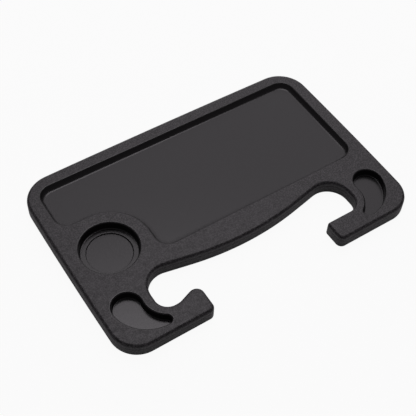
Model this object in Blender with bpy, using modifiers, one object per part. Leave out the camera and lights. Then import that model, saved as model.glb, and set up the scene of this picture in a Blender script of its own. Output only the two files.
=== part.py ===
"""Black steering wheel tray.

Two moulded ABS shells meet at a seam round the edge and are held by twelve screws from below.
The tray hooks on the wheel's rim with its two fingers at the front. Its top face has a main
well, a stepped cup recess and two comma-shaped recesses, and it rests on six rubber pads.
X is the width, Y the depth with the hooks at -Y, and Z is up from the pads' lower faces.
"""
import math

import bmesh
import bpy
from mathutils import Vector

MM = 0.001

# Meshing
CHORD_ERROR = 0.15 * MM
WELD_DISTANCE = 0.01 * MM
QUARTER_STEPS = 3
SMOOTH_ANGLE = math.radians(35)
OVERRUN = 4 * MM

# Clearance between neighbouring pieces
GAP = 0.3 * MM

# Tray outline
TRAY_WIDTH = 421.6 * MM
TRAY_DEPTH = 277.8 * MM
SHELL_HEIGHT = 19 * MM
BACK_CROWN = 1.0 * MM
SIDE_CROWN = 0.8 * MM
BACK_CORNER_RADIUS = 40 * MM
FRONT_CORNER_RADIUS = 35.2 * MM
EDGE_RADIUS = 4.0 * MM
LOWER_EDGE_RADIUS = 1.2 * MM

# Hooks and the notches behind them
ARM_WIDTH = 66.3 * MM
FINGER_LENGTH = 54.1 * MM
FINGER_WIDTH = 30 * MM
FINGER_CORNER_RADIUS = 8 * MM
FINGER_INNER_TOP_RADIUS = 0.5 * MM
HUMP_HEIGHT = 7 * MM
HUMP_LENGTH = 12.2 * MM
HUMP_SLOPE_LENGTH = 18.9 * MM
HUMP_TIP_RADIUS = 10 * MM
HUMP_SHOULDER_RADIUS = 10 * MM
HUMP_BLEND_RADIUS = 21 * MM
NOTCH_LOWER_RADIUS = 16.8 * MM
NOTCH_UPPER_RADIUS = 27.5 * MM
BULGE_SETBACK = 67.6 * MM
BULGE_RADIUS = 385 * MM
BULGE_SLOPE = math.radians(11.6)

# Shell walls and the lap joint at the seam
WALL = 2.5 * MM
FLOOR = 2.4 * MM
SEAM_DROP = 7 * MM
LAP_LIP = 1.0 * MM
LAP_HEIGHT = 2 * MM

# Main well
SIDE_RIM = 17.4 * MM
BACK_RIM = 16.9 * MM
WELL_SETBACK = 101.8 * MM
WELL_DEPTH = 6.5 * MM
WELL_CORNER_RADIUS = 20.3 * MM
WELL_FLOOR_RADIUS = 6.2 * MM
WELL_DRAFT = math.radians(28)

# Cup recess, and the ring of rim between it and the well
CUP_RADIUS = 38.6 * MM
CUP_RIM = 18.1 * MM
CUP_SETBACK = 137.5 * MM
CUP_UNDER = 1.5 * MM
CUP_FLOOR_RADIUS = 1.6 * MM
CUP_STEP_RADIUS = 28.6 * MM
CUP_STEP_DEPTH = 1.8 * MM
CUP_SURROUND = 13.6 * MM

# Comma recesses
COMMA_UNDER = 4.1 * MM
COMMA_OUTER_RIM = 14.3 * MM
COMMA_NOTCH_RIM = 11.5 * MM
COMMA_BULB_SETBACK = 55.5 * MM
COMMA_TIP_RADIUS = 7.7 * MM
COMMA_TIP_INSET = 64.6 * MM
COMMA_TIP_SETBACK = 17.5 * MM
COMMA_BACK_RADIUS = 50.5 * MM
COMMA_HOLLOW_RADIUS = 30 * MM
COMMA_FLOOR_RADIUS = 1.2 * MM

# Every recess has this rounded lip; the cup and comma recesses have this slope on their walls
LIP_RADIUS = 2.0 * MM
WALL_DRAFT = math.radians(4)

# Screws and their posts
SCREW_LENGTH = 10 * MM
SCREW_RADIUS = 1.45 * MM
SCREW_TAPER = 1.5 * MM
SCREW_TIP_RADIUS = 0.5 * MM
HEAD_RADIUS = 2.8 * MM
HEAD_HEIGHT = 1.8 * MM
HEAD_RIM = 1.1 * MM
DRIVE_LENGTH = 3.2 * MM
DRIVE_WIDTH = 0.9 * MM
DRIVE_DEPTH = 1.1 * MM
HEAD_SINK = 0.5 * MM
POST_WALL = 0.7 * MM
SEAT_THICKNESS = 2 * MM
SCREW_CORNER_INSET = 17.5 * MM
SCREW_EDGE_INSET = 8.6 * MM
SCREW_BACK_SPACING = 130 * MM
SCREW_SIDE_SETBACK = 190 * MM
SCREW_BULGE_SPACING = 110 * MM
SCREW_HOOK_INSET = 19.8 * MM
SCREW_HOOK_SETBACK = 17 * MM
SCREW_TIP_INSET = 13.5 * MM

# Rubber pads
PAD_RADIUS = 7 * MM
PAD_THICKNESS = 1.8 * MM
PAD_PROUD = 1.0 * MM
PAD_EDGE_RADIUS = 0.4 * MM
PAD_SCREW_WALL = 1.8 * MM
PAD_FRONT_SETBACK = 20 * MM
PAD_MIDDLE_SETBACK = 136 * MM
PAD_BACK_INSET = 31.8 * MM

# Ribs under the main well
RIB_THICKNESS = 1.6 * MM
RIB_MARGIN = 9 * MM
LONG_RIBS = 3
CROSS_RIBS = 5

# Finishes: linear colour and roughness
ABS_FINISH = ((0.022, 0.022, 0.023), 0.55)
STEEL_FINISH = ((0.05, 0.05, 0.05), 0.4, 1.0)
RUBBER_FINISH = ((0.012, 0.012, 0.012), 0.85)

# Heights above the pads' lower faces
BASE_Z = PAD_PROUD
TOP_Z = BASE_Z + SHELL_HEIGHT
SEAM_Z = TOP_Z - SEAM_DROP
SEAT_Z = BASE_Z + HEAD_SINK + HEAD_HEIGHT + GAP
POST_Z = SEAT_Z + SEAT_THICKNESS

# Depths that leave room between a recess's pot and the lower shell's floor
POT_DEPTH = SHELL_HEIGHT - FLOOR - WALL
CUP_DEPTH = POT_DEPTH - CUP_UNDER - CUP_STEP_DEPTH
COMMA_DEPTH = POT_DEPTH - COMMA_UNDER

# Places in plan
HALF_WIDTH = TRAY_WIDTH / 2
END_X = HALF_WIDTH - SIDE_CROWN
BACK_Y = TRAY_DEPTH / 2
FRONT_Y = -TRAY_DEPTH / 2
NOTCH_X = HALF_WIDTH - ARM_WIDTH
TIP_X = NOTCH_X - FINGER_LENGTH
FINGER_Y = FRONT_Y + FINGER_WIDTH
BULGE_Y = FRONT_Y + BULGE_SETBACK
WELL_X = HALF_WIDTH - SIDE_RIM
WELL_BACK_Y = BACK_Y - BACK_RIM
WELL_FRONT_Y = FRONT_Y + WELL_SETBACK
CUP_X = CUP_RIM + CUP_RADIUS - HALF_WIDTH
CUP_Y = FRONT_Y + CUP_SETBACK
LOBE_RADIUS = CUP_RADIUS + CUP_SURROUND

# Sizes that follow a neighbour
FINGER_INNER_RADIUS = EDGE_RADIUS + FINGER_INNER_TOP_RADIUS
COMMA_BULB_RADIUS = (ARM_WIDTH - COMMA_OUTER_RIM - COMMA_NOTCH_RIM) / 2
COMMA_BULB_INSET = COMMA_OUTER_RIM + COMMA_BULB_RADIUS
POST_RADIUS = HEAD_RADIUS + GAP + POST_WALL
PAD_SIDE_INSET = SCREW_HOOK_INSET + HEAD_RADIUS + PAD_SCREW_WALL + PAD_RADIUS + 2 * GAP


def remove_old_objects():
    """Empty the scene before the tray is built."""
    for item in list(bpy.data.objects):
        bpy.data.objects.remove(item, do_unlink=True)


def new_collection(name):
    """Add a collection to the scene."""
    collection = bpy.data.collections.new(name)
    bpy.context.scene.collection.children.link(collection)
    return collection


def new_material(name, colour, roughness, metallic=0.0):
    """Make a Principled material from a linear colour."""
    material = bpy.data.materials.new(name)
    material.use_nodes = True
    shader = material.node_tree.nodes["Principled BSDF"]
    shader.inputs["Base Color"].default_value = (*colour, 1.0)
    shader.inputs["Roughness"].default_value = roughness
    shader.inputs["Metallic"].default_value = metallic
    material.diffuse_color = (*colour, 1.0)
    return material


def arc_steps(radius, sweep):
    """Count the chords that keep an arc within the chord error, as an even number.

    An even number puts a point at the top of a bowed side, which keeps the overall size.
    """
    chord_angle = 2 * math.acos(max(0.0, 1 - CHORD_ERROR / radius))
    return 2 * math.ceil(abs(sweep) / chord_angle / 2)


def arc(centre, radius, start, sweep):
    """Return the points of an arc, with both its ends."""
    steps = arc_steps(radius, sweep)
    angles = [start + sweep * step / steps for step in range(steps + 1)]
    return [centre + radius * Vector((math.cos(angle), math.sin(angle))) for angle in angles]


def rounded_corner(before, corner, after, radius):
    """Round one corner of a polygon with an arc that meets both its sides."""
    inward = (before - corner).normalized()
    outward = (after - corner).normalized()
    half_angle = inward.angle(outward) / 2
    centre = corner + (inward + outward).normalized() * radius / math.sin(half_angle)
    tangent = radius / math.tan(half_angle)
    first = corner + inward * tangent - centre
    last = corner + outward * tangent - centre
    start = math.atan2(first.y, first.x)
    sweep = -first.angle_signed(last)
    return arc(centre, radius, start, sweep)


def fitted_corners(corners):
    """Limit each corner's radius to the sides that it stands between."""
    points = [Vector(corner[:2]) for corner in corners]
    following = points[1:] + points[:1]
    tangents = []
    for index, point in enumerate(points):
        inward = points[index - 1] - point
        outward = following[index] - point
        tangents.append(corners[index][2] / math.tan(inward.angle(outward) / 2))
    shares = []
    for index, point in enumerate(points):
        needed = tangents[index] + tangents[(index + 1) % len(points)]
        shares.append(min(1.0, (following[index] - point).length / needed))
    return [(x, y, radius * min(shares[index - 1], shares[index]))
            for index, (x, y, radius) in enumerate(corners)]


def grown_corners(corners, grow):
    """Move a polygon's sides outwards, and keep its rounded corners concentric."""
    grown = []
    count = len(corners)
    for index, (x, y, radius) in enumerate(corners):
        corner = Vector((x, y))
        before = Vector(corners[index - 1][:2])
        after = Vector(corners[(index + 1) % count][:2])
        first = (corner - before).normalized()
        last = (after - corner).normalized()
        turn = first.x * last.y - first.y * last.x
        first_side = Vector((first.y, -first.x))
        last_side = Vector((last.y, -last.x))
        moved = corner + (first_side + last_side) * grow / (1 + first_side.dot(last_side))
        grown.append((moved.x, moved.y, radius + grow if turn > 0 else radius - grow))
    return grown


def rounded_outline(corners, grow=0.0):
    """Turn anticlockwise corners (x, y, radius) into points, moved outwards by grow."""
    corners = grown_corners(fitted_corners(corners), grow)
    count = len(corners)
    points = []
    for index, (x, y, radius) in enumerate(corners):
        before = Vector(corners[index - 1][:2])
        after = Vector(corners[(index + 1) % count][:2])
        points += rounded_corner(before, Vector((x, y)), after, radius)
    return [point for index, point in enumerate(points)
            if (point - points[index - 1]).length > WELD_DISTANCE]


def circle_outline(centre, radius):
    """Return the points of a whole circle."""
    return arc(centre, radius, 0.0, 2 * math.pi)[:-1]


def crown(reach, rise):
    """Radius, and slope at its ends, of the arc that bows a side out by the given rise."""
    radius = (reach**2 + rise**2) / (2 * rise)
    return radius, reach / math.sqrt(radius**2 - reach**2)


def tray_outline():
    """Outline of both shells: bowed back and sides, two hooked fingers and a bulge between.

    Only the left finger has a hump on its inner edge.
    """
    hump_y = FINGER_Y + HUMP_HEIGHT
    hump_end = -TIP_X - HUMP_LENGTH
    hump_root = hump_end - HUMP_SLOPE_LENGTH
    bulge_y = BULGE_Y - BULGE_RADIUS * (1 / math.cos(BULGE_SLOPE) - 1)
    notch_y = bulge_y + math.tan(BULGE_SLOPE) * NOTCH_X

    back_end_y = BACK_Y - BACK_CROWN
    side_near = FRONT_Y + FRONT_CORNER_RADIUS
    side_far = back_end_y - BACK_CORNER_RADIUS
    side_reach = (side_far - side_near) / 2
    side_radius, side_slope = crown(side_reach, SIDE_CROWN)
    side_crown = (END_X + side_slope * side_reach, (side_near + side_far) / 2, side_radius)
    front_x = END_X - side_slope * FRONT_CORNER_RADIUS

    back_x = END_X - side_slope * BACK_CORNER_RADIUS
    back_reach = back_x - BACK_CORNER_RADIUS
    back_radius, back_slope = crown(back_reach, BACK_CROWN)
    back_crown_y = back_end_y + back_slope * back_reach
    back_corner_y = back_end_y - back_slope * BACK_CORNER_RADIUS
    return rounded_outline([
        (-front_x, FRONT_Y, FRONT_CORNER_RADIUS),
        (-TIP_X, FRONT_Y, FINGER_CORNER_RADIUS),
        (-TIP_X, hump_y, HUMP_TIP_RADIUS),
        (hump_end, hump_y, HUMP_SHOULDER_RADIUS),
        (hump_root, FINGER_Y, HUMP_BLEND_RADIUS),
        (-NOTCH_X, FINGER_Y, NOTCH_LOWER_RADIUS),
        (-NOTCH_X, notch_y, NOTCH_UPPER_RADIUS),
        (0.0, bulge_y, BULGE_RADIUS),
        (NOTCH_X, notch_y, NOTCH_UPPER_RADIUS),
        (NOTCH_X, FINGER_Y, NOTCH_LOWER_RADIUS),
        (TIP_X, FINGER_Y, FINGER_INNER_RADIUS),
        (TIP_X, FRONT_Y, FINGER_CORNER_RADIUS),
        (front_x, FRONT_Y, FRONT_CORNER_RADIUS),
        side_crown,
        (back_x, back_corner_y, BACK_CORNER_RADIUS),
        (0.0, back_crown_y, back_radius),
        (-back_x, back_corner_y, BACK_CORNER_RADIUS),
        (-side_crown[0], *side_crown[1:]),
    ])


def well_outline(grow=0.0):
    """Main well, with a lobe of rim that follows the cup recess."""
    lobe_x = CUP_X + LOBE_RADIUS
    lobe_y = CUP_Y + LOBE_RADIUS
    return rounded_outline([
        (lobe_x, WELL_FRONT_Y, WELL_CORNER_RADIUS),
        (WELL_X, WELL_FRONT_Y, WELL_CORNER_RADIUS),
        (WELL_X, WELL_BACK_Y, WELL_CORNER_RADIUS),
        (-WELL_X, WELL_BACK_Y, WELL_CORNER_RADIUS),
        (-WELL_X, lobe_y, WELL_CORNER_RADIUS),
        (lobe_x, lobe_y, LOBE_RADIUS),
    ], grow)


def meeting_point(first, first_radius, second, second_radius, side):
    """Find where two circles cross, on the given side of the line between them."""
    along = second - first
    distance = along.length
    along = along / distance
    reach = (first_radius**2 - second_radius**2 + distance**2) / (2 * distance)
    offset = math.sqrt(max(0.0, first_radius**2 - reach**2))
    return first + along * reach + Vector((-along.y, along.x)) * side * offset


def comma_outline(mirror, grow=0.0):
    """Comma recess of four arcs that meet smoothly: bulb, outer back, tip and inner hollow."""
    bulb = Vector((-HALF_WIDTH + COMMA_BULB_INSET, FRONT_Y + COMMA_BULB_SETBACK))
    tip = Vector((-HALF_WIDTH + COMMA_TIP_INSET, FRONT_Y + COMMA_TIP_SETBACK))
    back = meeting_point(bulb, COMMA_BACK_RADIUS - COMMA_BULB_RADIUS,
                         tip, COMMA_BACK_RADIUS - COMMA_TIP_RADIUS, 1)
    hollow = meeting_point(bulb, COMMA_HOLLOW_RADIUS + COMMA_BULB_RADIUS,
                           tip, COMMA_HOLLOW_RADIUS + COMMA_TIP_RADIUS, 1)
    towards_back = [math.atan2(*reversed(circle - back)) for circle in (bulb, tip)]
    towards_hollow = [math.atan2(*reversed(hollow - circle)) for circle in (bulb, tip)]

    def turn(start, end):
        return (end - start) % (2 * math.pi)

    points = arc(bulb, COMMA_BULB_RADIUS + grow, towards_hollow[0],
                 turn(towards_hollow[0], towards_back[0]))
    points += arc(back, COMMA_BACK_RADIUS + grow, towards_back[0],
                  turn(towards_back[0], towards_back[1]))[1:]
    points += arc(tip, COMMA_TIP_RADIUS + grow, towards_back[1],
                  turn(towards_back[1], towards_hollow[1]))[1:]
    hollow_start = towards_hollow[1] + math.pi
    points += arc(hollow, COMMA_HOLLOW_RADIUS - grow, hollow_start,
                  -turn(towards_hollow[0], towards_hollow[1]))[1:-1]
    if mirror < 0:
        return points
    return [Vector((-point.x, point.y)) for point in reversed(points)]


def stack(name, outline, levels, collection):
    """Build a closed solid from an outline, inset a little more at each level.

    Each level is (inset, height); the heights run one way, up or down.
    """
    mesh = bpy.data.meshes.new(name)
    solid = bmesh.new()
    inset, height = levels[0]
    corners = [solid.verts.new((point.x, point.y, height)) for point in outline]
    face = solid.faces.new(corners)
    face.normal_update()
    if inset:
        bmesh.ops.inset_region(solid, faces=[face], thickness=inset, use_even_offset=True,
                               use_boundary=True)
        bmesh.ops.delete(solid, geom=[item for item in solid.faces if item is not face],
                         context="FACES")
    for next_inset, next_height in levels[1:]:
        bmesh.ops.inset_region(solid, faces=[face], thickness=next_inset - inset,
                               depth=next_height - height, use_even_offset=True,
                               use_boundary=True)
        inset = next_inset
        height = next_height
    open_edges = [edge for edge in solid.edges if edge.is_boundary]
    bmesh.ops.contextual_create(solid, geom=open_edges)
    bmesh.ops.recalc_face_normals(solid, faces=solid.faces)
    if solid.calc_volume(signed=True) < 0:
        bmesh.ops.reverse_faces(solid, faces=solid.faces)
    solid.to_mesh(mesh)
    solid.free()
    item = bpy.data.objects.new(name, mesh)
    collection.objects.link(item)
    return item


def quarter_round(inset, height, radius, inset_way, height_way, starts_flat):
    """Levels of a quarter round that starts at (inset, height).

    It starts along the flat face where starts_flat is set, and else along the wall.
    """
    levels = []
    for step in range(1, QUARTER_STEPS + 1):
        angle = math.pi / 2 * step / QUARTER_STEPS
        across = math.sin(angle) if starts_flat else 1 - math.cos(angle)
        down = 1 - math.cos(angle) if starts_flat else math.sin(angle)
        levels.append((inset + inset_way * radius * across, height + height_way * radius * down))
    return levels


def recess_levels(depth, floor_radius, draft=WALL_DRAFT):
    """Levels of a recess cutter: overrun, rounded lip, sloped wall and rounded floor edge.

    Both roundings run into the slope of the wall without a corner.
    """
    turn = math.pi / 2 - draft
    angles = [turn * step / QUARTER_STEPS for step in range(1, QUARTER_STEPS + 1)]
    levels = [(0.0, TOP_Z + OVERRUN), (0.0, TOP_Z)]
    for angle in angles:
        levels.append((LIP_RADIUS * math.sin(angle), TOP_Z - LIP_RADIUS * (1 - math.cos(angle))))
    wall_height = depth - (LIP_RADIUS + floor_radius) * (1 - math.cos(turn))
    inset = LIP_RADIUS * math.sin(turn) + wall_height * math.tan(draft)
    height = TOP_Z - depth + floor_radius * (1 - math.cos(turn))
    levels.append((inset, height))
    for angle in angles:
        across = math.sin(turn) - math.sin(turn - angle)
        down = math.cos(turn - angle) - math.cos(turn)
        levels.append((inset + floor_radius * across, height - floor_radius * down))
    return levels


def cylinder(name, place, radius, low, high, collection):
    """Make an upright cylinder between two heights."""
    return stack(name, circle_outline(place, radius), [(0.0, low), (0.0, high)], collection)


def box(name, low, high, collection):
    """Make a box from its lower and upper corners."""
    mesh = bpy.data.meshes.new(name)
    solid = bmesh.new()
    bmesh.ops.create_cube(solid, size=1.0)
    for vertex in solid.verts:
        for axis in range(3):
            share = vertex.co[axis] + 0.5
            vertex.co[axis] = low[axis] + share * (high[axis] - low[axis])
    solid.to_mesh(mesh)
    solid.free()
    item = bpy.data.objects.new(name, mesh)
    collection.objects.link(item)
    return item


def hide_cutter(cutter):
    """Keep a cutter out of renders and show it as wires."""
    cutter.hide_render = True
    cutter.display_type = "WIRE"


def combine(target, tool, operation):
    """Join a tool to an object, or cut it away, with a Boolean modifier."""
    hide_cutter(tool)
    modifier = target.modifiers.new(tool.name, "BOOLEAN")
    modifier.operation = operation
    modifier.object = tool
    modifier.solver = "EXACT"


def screw_places():
    """Plan positions of the twelve screws, mirrored from the right half."""
    right = (
        (HALF_WIDTH - SCREW_CORNER_INSET, BACK_Y - SCREW_CORNER_INSET),
        (SCREW_BACK_SPACING / 2, BACK_Y - SCREW_EDGE_INSET),
        (HALF_WIDTH - SCREW_EDGE_INSET, FRONT_Y + SCREW_SIDE_SETBACK),
        (SCREW_BULGE_SPACING / 2, (BULGE_Y + WELL_FRONT_Y) / 2),
        (HALF_WIDTH - SCREW_HOOK_INSET, FRONT_Y + SCREW_HOOK_SETBACK),
        (TIP_X + SCREW_TIP_INSET, FRONT_Y + FINGER_WIDTH / 2),
    )
    return [Vector((side * x, y)) for x, y in right for side in (-1, 1)]


def pad_places():
    """Plan positions of the six pads."""
    x = HALF_WIDTH - PAD_SIDE_INSET
    rows = (FRONT_Y + PAD_FRONT_SETBACK, FRONT_Y + PAD_MIDDLE_SETBACK, BACK_Y - PAD_BACK_INSET)
    return [Vector((side * x, y)) for y in rows for side in (-1, 1)]


def make_top_shell(parts, tools):
    """Upper moulding: textured rim, recesses and the posts that take the screws."""
    outline = tray_outline()
    edge = quarter_round(0.0, TOP_Z - EDGE_RADIUS, EDGE_RADIUS, 1, 1, False)
    shell = stack("top_shell", outline, [(0.0, SEAM_Z), (0.0, TOP_Z - EDGE_RADIUS)] + edge, parts)
    under = SEAM_Z - OVERRUN
    skin = TOP_Z - WALL / 2
    cavity = stack("top_cavity", outline, [(WALL, under), (WALL, TOP_Z - WALL)], tools)
    lap_top = SEAM_Z + LAP_HEIGHT
    lap = stack("lap_rebate", outline, [(LAP_LIP, under), (LAP_LIP, lap_top)], tools)
    combine(shell, cavity, "DIFFERENCE")
    combine(shell, lap, "DIFFERENCE")

    cup = Vector((CUP_X, CUP_Y))
    cup_bottom = TOP_Z - CUP_DEPTH - CUP_STEP_DEPTH
    comma_levels = recess_levels(COMMA_DEPTH, COMMA_FLOOR_RADIUS)
    pots = (
        ("well", well_outline(WALL), well_outline(), WELL_DEPTH,
         recess_levels(WELL_DEPTH, WELL_FLOOR_RADIUS, WELL_DRAFT)),
        ("cup", circle_outline(cup, CUP_RADIUS + WALL), circle_outline(cup, CUP_RADIUS),
         CUP_DEPTH + CUP_STEP_DEPTH, recess_levels(CUP_DEPTH, CUP_FLOOR_RADIUS)),
        ("comma_left", comma_outline(-1, WALL), comma_outline(-1), COMMA_DEPTH, comma_levels),
        ("comma_right", comma_outline(1, WALL), comma_outline(1), COMMA_DEPTH, comma_levels),
    )
    for name, outer, _, full_depth, _ in pots:
        pot = stack(name + "_pot", outer, [(0.0, TOP_Z - full_depth - WALL), (0.0, skin)], tools)
        combine(shell, pot, "UNION")
    for number, place in enumerate(screw_places(), 1):
        post = cylinder(f"top_post_{number}", place, POST_RADIUS, POST_Z + GAP, skin, tools)
        combine(shell, post, "UNION")
    for name, _, inner, _, levels in pots:
        recess = stack(name + "_recess", inner, levels, tools)
        combine(shell, recess, "DIFFERENCE")
    step = cylinder("cup_step", cup, CUP_STEP_RADIUS, cup_bottom, TOP_Z - LIP_RADIUS, tools)
    combine(shell, step, "DIFFERENCE")
    pilot_top = SEAT_Z + SCREW_LENGTH + GAP
    for number, place in enumerate(screw_places(), 1):
        pilot = cylinder(f"pilot_{number}", place, SCREW_RADIUS + GAP, POST_Z - OVERRUN,
                         pilot_top, tools)
        combine(shell, pilot, "DIFFERENCE")
    return shell


def make_bottom_shell(parts, tools):
    """Lower moulding: flat floor, the lap tongue, screw seats, pad recesses and ribs."""
    outline = tray_outline()
    rim = SEAM_Z - GAP
    foot = BASE_Z + LOWER_EDGE_RADIUS
    edge = quarter_round(0.0, foot, LOWER_EDGE_RADIUS, 1, -1, False)
    shell = stack("bottom_shell", outline, [(0.0, rim), (0.0, foot)] + edge, parts)
    tongue_top = SEAM_Z + LAP_HEIGHT - GAP
    tongue_inset = LAP_LIP + GAP
    tongue = stack("lap_tongue", outline,
                   [(tongue_inset, rim - LAP_HEIGHT), (tongue_inset, tongue_top)], tools)
    combine(shell, tongue, "UNION")
    cavity = stack("bottom_cavity", outline,
                   [(WALL, tongue_top + OVERRUN), (WALL, BASE_Z + FLOOR)], tools)
    combine(shell, cavity, "DIFFERENCE")

    floor = BASE_Z + FLOOR / 2
    for number, place in enumerate(screw_places(), 1):
        post = cylinder(f"bottom_post_{number}", place, POST_RADIUS, floor, POST_Z, tools)
        combine(shell, post, "UNION")

    rib_top = TOP_Z - WELL_DEPTH - WALL - GAP
    left = CUP_X + LOBE_RADIUS + RIB_MARGIN
    right = WELL_X - RIB_MARGIN
    near = WELL_FRONT_Y + RIB_MARGIN
    far = WELL_BACK_Y - RIB_MARGIN
    half = RIB_THICKNESS / 2
    for number in range(LONG_RIBS):
        y = near + (far - near) * number / (LONG_RIBS - 1)
        rib = box(f"long_rib_{number + 1}", (left - half, y - half, floor),
                  (right + half, y + half, rib_top), tools)
        combine(shell, rib, "UNION")
    for number in range(CROSS_RIBS):
        x = left + (right - left) * number / (CROSS_RIBS - 1)
        rib = box(f"cross_rib_{number + 1}", (x - half, near - half, floor),
                  (x + half, far + half, rib_top), tools)
        combine(shell, rib, "UNION")

    below = BASE_Z - OVERRUN
    for number, place in enumerate(screw_places(), 1):
        sink = cylinder(f"counterbore_{number}", place, HEAD_RADIUS + GAP, below, SEAT_Z, tools)
        combine(shell, sink, "DIFFERENCE")
        hole = cylinder(f"screw_hole_{number}", place, SCREW_RADIUS + GAP, below,
                        POST_Z + OVERRUN, tools)
        combine(shell, hole, "DIFFERENCE")
    recess_top = PAD_THICKNESS + GAP
    for number, place in enumerate(pad_places(), 1):
        recess = cylinder(f"pad_recess_{number}", place, PAD_RADIUS + GAP, below, recess_top,
                          tools)
        combine(shell, recess, "DIFFERENCE")
    return shell


def make_screw_mesh(tools):
    """Turned screw with its head down, its seat at the origin and a cross drive below."""
    tip = SCREW_LENGTH
    profile = (
        (0.0, tip),
        (SCREW_TIP_RADIUS, tip),
        (SCREW_RADIUS, tip - SCREW_TAPER),
        (SCREW_RADIUS, 0.0),
        (HEAD_RADIUS, 0.0),
        (HEAD_RADIUS, -HEAD_RIM),
        (HEAD_RADIUS - (HEAD_HEIGHT - HEAD_RIM), -HEAD_HEIGHT),
        (0.0, -HEAD_HEIGHT),
    )
    mesh = bpy.data.meshes.new("screw_profile")
    mesh.from_pydata([(x, 0.0, z) for x, z in profile],
                     [(index, index + 1) for index in range(len(profile) - 1)], [])
    turned = bpy.data.objects.new("screw_turned", mesh)
    tools.objects.link(turned)
    hide_cutter(turned)
    spin = turned.modifiers.new("turn", "SCREW")
    spin.steps = arc_steps(HEAD_RADIUS, 2 * math.pi)
    spin.render_steps = spin.steps
    spin.use_merge_vertices = True
    spin.merge_threshold = WELD_DISTANCE
    weld = turned.modifiers.new("weld", "WELD")
    weld.merge_threshold = WELD_DISTANCE
    half = DRIVE_LENGTH / 2
    thin = DRIVE_WIDTH / 2
    low = -HEAD_HEIGHT - OVERRUN
    high = -HEAD_HEIGHT + DRIVE_DEPTH
    for name, x, y in (("drive_x", half, thin), ("drive_y", thin, half)):
        combine(turned, box(name, (-x, -y, low), (x, y, high), tools), "DIFFERENCE")
    bpy.context.view_layer.update()
    evaluated = turned.evaluated_get(bpy.context.evaluated_depsgraph_get())
    finished = bpy.data.meshes.new_from_object(evaluated)
    finished.name = "screw"
    return finished


def make_screws(parts, tools, material):
    """Place one screw in each post."""
    mesh = make_screw_mesh(tools)
    mesh.materials.clear()
    mesh.materials.append(material)
    for number, place in enumerate(screw_places(), 1):
        screw = bpy.data.objects.new(f"screw_{number:02d}", mesh)
        screw.location = (place.x, place.y, SEAT_Z - GAP)
        parts.objects.link(screw)


def make_pads(parts, material):
    """Place one rubber pad in each recess of the underside."""
    side = PAD_THICKNESS - PAD_EDGE_RADIUS
    edge = quarter_round(0.0, PAD_EDGE_RADIUS, PAD_EDGE_RADIUS, 1, -1, False)
    for number, place in enumerate(pad_places(), 1):
        levels = [(0.0, PAD_THICKNESS), (0.0, PAD_THICKNESS - side)] + edge
        pad = stack(f"pad_{number}", circle_outline(place, PAD_RADIUS), levels, parts)
        pad.data.materials.append(material)


def main():
    """Build the whole tray."""
    remove_old_objects()
    parts = new_collection("steering_wheel_tray")
    tools = new_collection("cutters")
    black_abs = new_material("black_abs", *ABS_FINISH)
    steel = new_material("black_steel", *STEEL_FINISH)
    rubber = new_material("black_rubber", *RUBBER_FINISH)
    for shell in (make_top_shell(parts, tools), make_bottom_shell(parts, tools)):
        shell.data.materials.append(black_abs)
        shell.data.shade_smooth()
        shell.data.set_sharp_from_angle(angle=SMOOTH_ANGLE)
    make_screws(parts, tools, steel)
    make_pads(parts, rubber)


main()
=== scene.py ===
"""Black steering wheel tray: the visual model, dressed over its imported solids.

Two injection-moulded ABS shells meet at a seam round the edge. The rim and the walls carry a fine
spark-eroded grain, the recesses are smooth, and the underside has black screws and rubber pads.
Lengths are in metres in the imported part's frame: X across the width, Y towards the straight back
edge and Z up from the pads' lower faces.
"""

import logging
import math
from collections.abc import Iterable, Sequence
from dataclasses import dataclass, field
from enum import Enum

import bmesh
import bpy
from mathutils import Matrix, Vector


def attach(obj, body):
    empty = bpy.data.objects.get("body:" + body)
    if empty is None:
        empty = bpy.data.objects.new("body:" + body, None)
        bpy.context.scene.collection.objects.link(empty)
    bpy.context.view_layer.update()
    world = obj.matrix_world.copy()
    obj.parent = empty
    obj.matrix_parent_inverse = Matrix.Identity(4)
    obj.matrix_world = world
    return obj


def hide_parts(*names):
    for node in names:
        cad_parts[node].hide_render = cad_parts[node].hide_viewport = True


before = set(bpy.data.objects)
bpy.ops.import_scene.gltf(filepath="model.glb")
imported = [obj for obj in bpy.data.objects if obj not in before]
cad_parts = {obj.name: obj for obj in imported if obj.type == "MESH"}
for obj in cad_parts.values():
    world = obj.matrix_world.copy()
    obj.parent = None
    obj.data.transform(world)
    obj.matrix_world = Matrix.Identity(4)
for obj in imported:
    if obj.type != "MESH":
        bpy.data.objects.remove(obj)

Ring = list[bmesh.types.BMVert]

log = logging.getLogger("steering_wheel_tray")

MM = 0.001
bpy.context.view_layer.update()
BODY = "root"


class Side(Enum):
    """The two halves of the tray, as the sign of X."""

    LEFT = -1
    RIGHT = 1


class Region(Enum):
    """Material slots of a moulded shell."""

    GRAINED = 0
    SMOOTH = 1


def srgb(code: str) -> tuple[float, float, float, float]:
    """Turn an sRGB hex colour into the linear colour that Blender's sockets take.

    Args:
        code: Six hex digits with a leading hash.

    Returns:
        Linear red, green and blue, and an alpha of 1.
    """
    values = [int(code[place:place + 2], 16) / 255 for place in (1, 3, 5)]
    linear = [v / 12.92 if v <= 0.04045 else ((v + 0.055) / 1.055) ** 2.4 for v in values]
    return (linear[0], linear[1], linear[2], 1.0)


def per_feature(size_mm: float) -> float:
    """Give the scale of a texture whose features are this many millimetres across."""
    return 1.0 / (size_mm * MM)


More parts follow.
